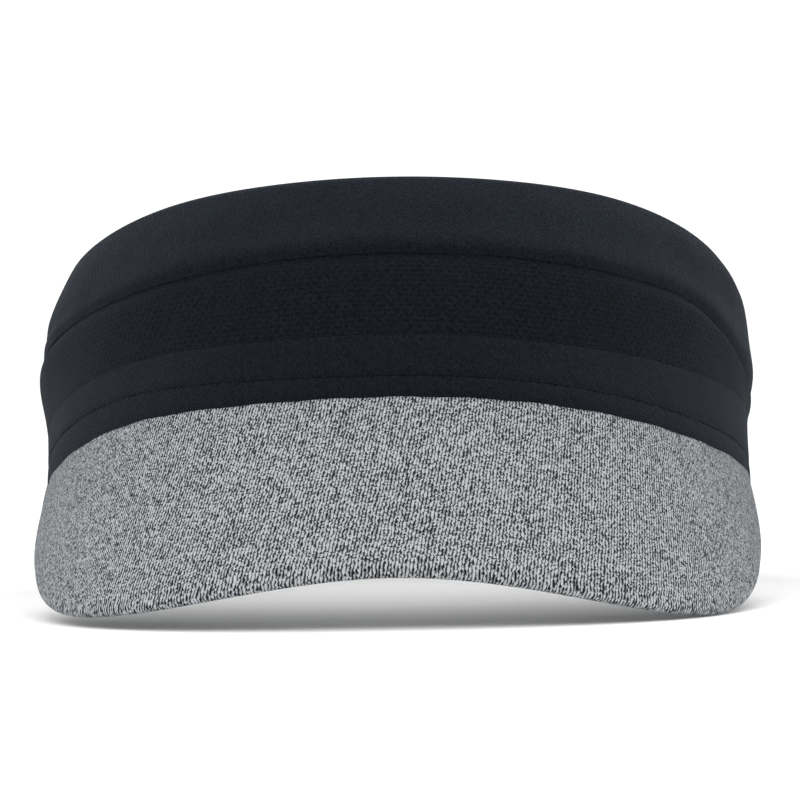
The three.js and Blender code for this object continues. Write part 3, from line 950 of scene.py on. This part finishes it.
class VISOR_OT_stitches(bpy.types.Operator):
    """The sewn rows: under the welt, below the mesh, along the hem, and up the joint at the back"""

    bl_idname = "visor.stitches"
    bl_label = "Stitches"

    def execute(self, context):
        band = context.scene.visor_band
        angle = np.linspace(-math.pi, math.pi, 721)
        # Each row's thread is sunk by the last number into the knit.
        rows = [
            ("welt_stitches", "welt_stitch", band.welt_line, 0.20 * MM),
            ("vent_stitches", "vent_stitch", band.vent_line, 0.22 * MM),
            ("hem_stitches", "hem_stitch", band.hem_line, 0.15 * MM),
        ]
        for name, node, height, sunk in rows:
            depth = sunk - panel_relief(angle, height)
            path = placed(band_points(angle, height, depth))
            outward = placed(band_points(angle, height, depth - MM)) - path
            stitch_row(name, node, path, outward, 0.10)
        height = np.linspace(JOINT_FOOT, band.height - TOP_MARGIN, 60)
        back = np.full(len(height), math.pi)
        path = placed(band_points(back, height, 0.10 * MM - panel_relief(back, height)))
        outward = placed(band_points(back, height, -MM)) - path
        stitch_row("seam_stitches", "rear_seam_thread", path, outward, 0.62, zigzag=True)
        return {"FINISHED"}


# ---- Pieces of the brim ------------------------------------------------------------------------

def brim_depths():
    """Depths below the brim's top face: of its foam, of its cover beneath, and of the last face."""
    brim = bpy.context.scene.visor_brim
    foam = brim.cover + LAYER_GAP
    board = foam + brim.foam + LAYER_GAP
    under = board + brim.board + LAYER_GAP
    return foam, under, under + brim.cover


def stations(count):
    """Places across the brim, closer together toward its two ends."""
    return np.sin(math.pi / 2 * 0.96 * np.linspace(-1, 1, count))[:, None]


def brim_lie(station, reach):
    """The cover's slight unevenness: it pulls in short ripples beside the band, and swells a
    little over the foam."""
    ripples = 0.10 * np.sin(46 * station + 1.0) * np.exp(-reach / 0.10)
    swell = 0.14 * np.sin(7 * station + 3.1 * reach + 0.7) + 0.08 * np.sin(15 * station - 5 * reach)
    return (ripples + swell * np.sin(math.pi * np.clip(reach, 0, 1))) * MM


class VISOR_OT_brim_covers(bpy.types.Operator):
    """The brim's heather knit: the top cover, wrapped round the edge, and the cover beneath"""

    bl_idname = "visor.brim_covers"
    bl_label = "Brim covers"

    def execute(self, context):
        station = stations(260)
        self.top_cover(station)
        self.cover_beneath(station)
        return {"FINISHED"}

    def top_cover(self, station):
        """Out along the top, round the edge, in under it, and back along the cloth's other face."""
        brim = bpy.context.scene.visor_brim
        _, _, total = brim_depths()
        round_edge = total / 2
        inner_nose = round_edge - brim.cover
        reach = np.linspace(0, 1, 74)
        nose = np.radians(np.linspace(90, -90, 15))[1:-1]
        turned = np.linspace(round_edge, brim.turned_edge, 9)
        flat, inside = np.ones(len(reach)), nose[::-1]
        margin = np.concatenate([
            flat * round_edge, round_edge - round_edge * np.cos(nose), turned,
            turned[::-1], round_edge - inner_nose * np.cos(inside), flat * round_edge,
        ])
        share = np.concatenate([reach, np.ones(2 * (len(nose) + len(turned))), reach[::-1]])
        depth = np.concatenate([
            flat * 0, round_edge - round_edge * np.sin(nose), np.full(len(turned), total),
            np.full(len(turned), total - brim.cover), round_edge - inner_nose * np.sin(inside),
            flat * brim.cover,
        ])
        soft = ((depth < round_edge) & (margin >= round_edge)).astype(float)
        lift = brim_lie(station, share[None, :]) * soft[None, :]
        thinned, thinned_width = 0.7 * MM, 3.5 * MM
        from_edge = (1 - share) * brim.reach + margin
        taper = thinned * (1 - smoothstep(from_edge, 0, thinned_width)) * (1 - depth / total)
        depth = (depth + taper)[None, :] - lift
        back = 0.3 * MM * np.clip(1 - share * 30, 0, 1)  # its first rows reach in to the seam
        points = brim_points(station, margin[None, :], share[None, :], depth, back[None, :])
        self.finish("brim_cover", "brim_top_cover", points)

    def cover_beneath(self, station):
        """Flat under the board, and turned up beside the band, where it closes the layers."""
        brim = bpy.context.scene.visor_brim
        _, under, total = brim_depths()
        lip_top, inner_back, outer_back, clearance = 0.75 * MM, 0.05, 0.33, 0.6 * MM
        reach = np.linspace(0, 1, 60)
        inner_lip = np.linspace(lip_top, under, 8)[:-1]
        outer_lip = np.linspace(total, lip_top, 8)[1:]
        flat, lip = np.ones(len(reach)), np.ones(len(inner_lip))
        share = np.concatenate([lip * 0, reach, reach[::-1], lip * 0])
        depth = np.concatenate([inner_lip, flat * under, flat * total, outer_lip])
        back = np.concatenate([lip * inner_back, flat * 0, flat * 0, lip * outer_back]) * MM
        margin = np.full(len(share), brim.turned_edge + clearance)
        points = brim_points(
            station, margin[None, :], share[None, :], depth[None, :], back[None, :]
        )
        self.finish("brim_lining", "brim_under_cover", points)

    def finish(self, name, node, points):
        piece = lofted(name, placed(points), False, shared(heather_jersey))
        stand_in(piece, node)


class VISOR_OT_brim_core(bpy.types.Operator):
    """The brim's foam, and the finish of the board that holds its curve"""

    bl_idname = "visor.brim_core"
    bl_label = "Brim core"

    def execute(self, context):
        brim = context.scene.visor_brim
        foam, _, _ = brim_depths()
        station = stations(160)
        reach = np.linspace(0, 1, 40)
        share = np.concatenate([reach, reach[::-1]])
        thin = 0.5 * (1 - np.clip(1 - (2 * share - 1) ** 8, 0, 1))
        flat = np.ones(len(reach))
        depth = np.concatenate([flat * foam, flat * (foam + brim.foam)])
        middle = foam + brim.foam / 2
        depth = middle + (depth - middle) * (1 - thin)
        margin = np.full(len(share), FOAM_MARGIN)
        points = brim_points(station, margin[None, :], share[None, :], depth[None, :])
        piece = lofted("brim_padding", placed(points), False, shared(open_cell_foam))
        stand_in(piece, "brim_foam")
        board = frame["nodes"]["brim_board"]
        board.data.materials.clear()
        board.data.materials.append(shared(polyethylene_sheet))
        return {"FINISHED"}


# ---- Studio ------------------------------------------------------------------------------------

class VISOR_OT_studio(bpy.types.Operator):
    """The pale floor, the soft lights and the camera"""

    bl_idname = "visor.studio"
    bl_label = "Studio"

    def execute(self, context):
        self.floor()
        self.light("key_softbox", (-0.9, -1.5, 1.7), 1.5, 8)
        self.light("fill_softbox", (1.5, -1.3, 0.9), 1.6, 3)
        self.light("top_softbox", (0.0, 0.5, 1.9), 1.6, 6)
        world = bpy.data.worlds.new("studio_surround")
        context.scene.world = world
        world.use_nodes = True
        surround = world.node_tree.nodes["Background"].inputs
        surround["Color"].default_value = (1.0, 1.0, 1.0, 1.0)
        surround["Strength"].default_value = 1.15
        context.scene.view_settings.view_transform = "Standard"
        self.camera(context)
        return {"FINISHED"}

    def floor(self):
        """A floor wide enough that its rim lies past every view."""
        bpy.ops.object.select_all(action="DESELECT")
        bpy.ops.mesh.primitive_circle_add(vertices=96, radius=30.0, fill_type="NGON")
        floor = bpy.context.object
        floor.name = "studio_floor"
        floor.data.materials.append(studio_paper())

    def light(self, name, place, size, power):
        """A round soft light, in metres and watts, that faces the visor."""
        lamp = bpy.data.lights.new(name, "AREA")
        lamp.shape, lamp.size, lamp.energy = "DISK", size, power
        holder = bpy.data.objects.new(name, lamp)
        bpy.context.scene.collection.objects.link(holder)
        holder.location = place
        middle = (cad_low + cad_high) / 2
        holder.rotation_euler = (middle - Vector(place)).to_track_quat("-Z", "Y").to_euler()

    def camera(self, context):
        """In front of the visor, a little above the plane of the band's lower edge."""
        above_band, distance, axis_height = math.radians(15.43), 1.3, 24.05 * MM
        roll, yaw = math.radians(-1.0), math.radians(-0.5)
        aim = np.array([0, -axis_height * math.sin(above_band), axis_height * math.cos(above_band)])
        pivot = Vector(placed(aim))
        lift = above_band - tilt_of_band()
        level = Matrix.Rotation(-lift, 3, "X")
        turned = Matrix.Rotation(roll, 3, "Y") @ Matrix.Rotation(yaw, 3, "Z") @ level
        right, forward, up = turned[0], turned[1], turned[2]
        axes = Matrix((right, up, -forward)).transposed()
        data = bpy.data.cameras.new("camera")
        data.lens, data.sensor_width = 263.25, 36.0
        data.shift_x = 0.0031
        data.clip_start, data.clip_end = 0.05, 100.0
        camera = bpy.data.objects.new("camera", data)
        context.scene.collection.objects.link(camera)
        camera.matrix_world = Matrix.Translation(pivot - forward * distance) @ axes.to_4x4()
        context.scene.camera = camera


# ---- The add-on --------------------------------------------------------------------------------

OPERATORS = (
    VISOR_OT_studio,
    VISOR_OT_tapes,
    VISOR_OT_folded_welt,
    VISOR_OT_outer_panels,
    VISOR_OT_lining,
    VISOR_OT_elastics,
    VISOR_OT_forehead_pad,
    VISOR_OT_label,
    VISOR_OT_stitches,
    VISOR_OT_brim_core,
    VISOR_OT_brim_covers,
)

GROUPS = {
    "visor_band": VisorBandSizes,
    "visor_brim": VisorBrimSizes,
    "visor_knit": VisorKnitSizes,
    "visor_colours": VisorColours,
}


class VISOR_PT_panel(bpy.types.Panel):
    """Lists the visor's pieces, sizes and colours"""

    bl_label = "Sports visor"
    bl_idname = "VISOR_PT_panel"
    bl_space_type = "VIEW_3D"
    bl_region_type = "UI"
    bl_category = "Visor"

    def draw(self, context):
        for operator in OPERATORS:
            self.layout.operator(operator.bl_idname)
        for group in GROUPS:
            for name in GROUPS[group].__annotations__:
                self.layout.prop(getattr(context.scene, group), name)


def register():
    for kind in (*GROUPS.values(), *OPERATORS, VISOR_PT_panel):
        bpy.utils.register_class(kind)
    for name, kind in GROUPS.items():
        setattr(bpy.types.Scene, name, bpy.props.PointerProperty(type=kind))


def unregister():
    for name in GROUPS:
        delattr(bpy.types.Scene, name)
    for kind in reversed((*GROUPS.values(), *OPERATORS, VISOR_PT_panel)):
        bpy.utils.unregister_class(kind)


def main():
    register()
    for operator in OPERATORS:
        getattr(bpy.ops.visor, operator.bl_idname.split(".")[1])()


if __name__ == "__main__":
    main()
